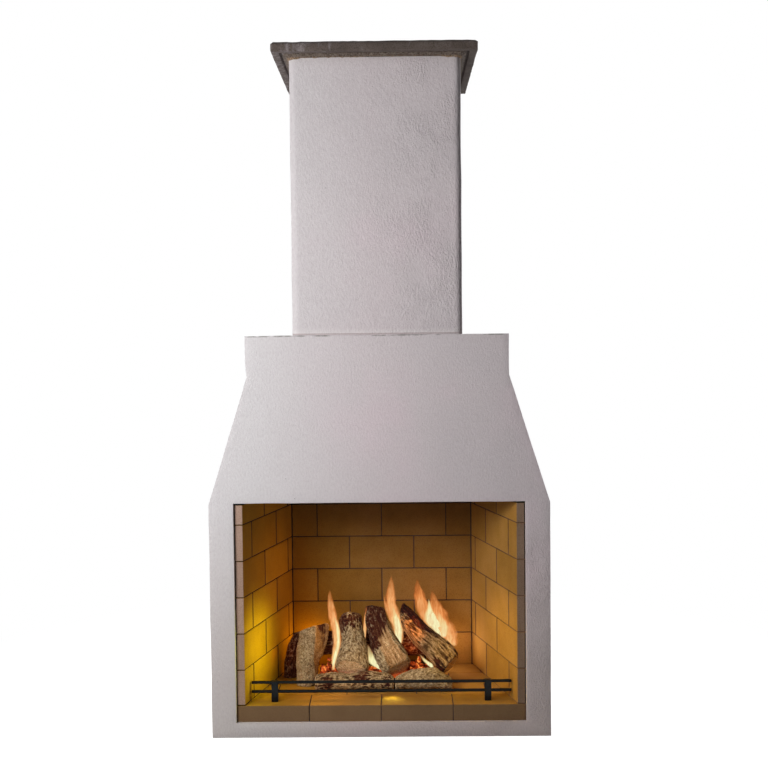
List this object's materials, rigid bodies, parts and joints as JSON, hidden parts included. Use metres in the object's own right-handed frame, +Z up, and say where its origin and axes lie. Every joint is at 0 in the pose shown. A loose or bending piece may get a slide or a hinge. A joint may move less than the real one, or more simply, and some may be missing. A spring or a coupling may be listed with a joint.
{
  "type": "outdoor fireplace",
  "caption": "Free-standing stuccoed masonry fireplace with splayed firebrick firebox, smoke hood, square chimney and cap, gas logs and a lift-off hearth fender.",
  "frame": {"origin": "on the ground, under the middle of the stuccoed base", "axes": "+Z up the chimney, -Y out of the fire opening towards the viewer, +X to the viewer's right"},
  "size_m": [1.088, 0.718, 2.205],
  "materials": {
    "stucco": "trowelled pale grey stucco, matt",
    "concrete": "precast concrete, matt",
    "cap_concrete": "dark cast concrete, weathered",
    "mortar": "struck mortar, matt",
    "firebrick": "buff firebrick, matt",
    "flue_clay": "unglazed clay",
    "black_steel": "high temperature black paint, satin",
    "black_iron": "blackened iron, semi-gloss",
    "embers": "rock wool embers, glowing",
    "ceramic_log": "cast ceramic with bark texture, charred in places",
    "galvanised_steel": "galvanised, dull",
    "brass": "machined brass, satin"
  },
  "bodies": {
    "root": {"base_slab": "concrete", "side_core_left": "concrete", "side_core_right": "concrete", "back_core": "concrete", "lintel_angle": "black_steel", "hood_front_panel": "concrete", "hood_back_panel": "concrete", "hood_left_panel": "concrete", "hood_right_panel": "concrete", "hood_top_slab": "concrete", "chimney_block_1": "concrete", "chimney_block_2": "concrete", "chimney_block_3": "concrete", "flue_liner_1": "flue_clay", "flue_liner_2": "flue_clay", "cap_mortar_bed": "mortar", "chimney_cap": "cap_concrete", "stucco_body": "stucco", "stucco_chimney": "stucco", "hearth_row_1": "firebrick", "hearth_row_2": "firebrick", "hearth_row_3": "firebrick", "hearth_row_4": "firebrick", "back_course_1": "firebrick", "back_course_2": "firebrick", "back_course_3": "firebrick", "back_course_4": "firebrick", "back_course_5": "firebrick", "back_course_6": "firebrick", "left_course_1": "firebrick", "left_course_2": "firebrick", "left_course_3": "firebrick", "left_course_4": "firebrick", "left_course_5": "firebrick", "left_course_6": "firebrick", "right_course_1": "firebrick", "right_course_2": "firebrick", "right_course_3": "firebrick", "right_course_4": "firebrick", "right_course_5": "firebrick", "right_course_6": "firebrick", "burner_pan": "black_steel", "burner_tube": "black_steel", "ember_bed": "embers", "log_rack": "black_iron", "gas_supply_pipe": "galvanised_steel", "gas_valve_body": "brass", "log_rear": "ceramic_log", "log_left": "ceramic_log", "log_left_rear": "ceramic_log", "log_centre_left": "ceramic_log", "log_centre": "ceramic_log", "log_right": "ceramic_log", "log_front": "ceramic_log", "log_front_right": "ceramic_log"},
    "valve_lever": {"gas_valve_lever": "brass"},
    "fender": {"fender_bar_upper": "black_iron", "fender_bar_lower": "black_iron", "fender_post_left": "black_iron", "fender_post_right": "black_iron"}
  },
  "joints": [
    {"name": "valve_turn", "type": "hinge", "parent": "root", "child": "valve_lever", "pos_m": [0, 0.337, 0.145], "axis": [0, 0, 1], "range_deg": [0, 90]},
    {"name": "fender_lift", "type": "slide", "parent": "root", "child": "fender", "axis": [0, 0, 1], "range_m": [0, 0.25]}
  ]
}
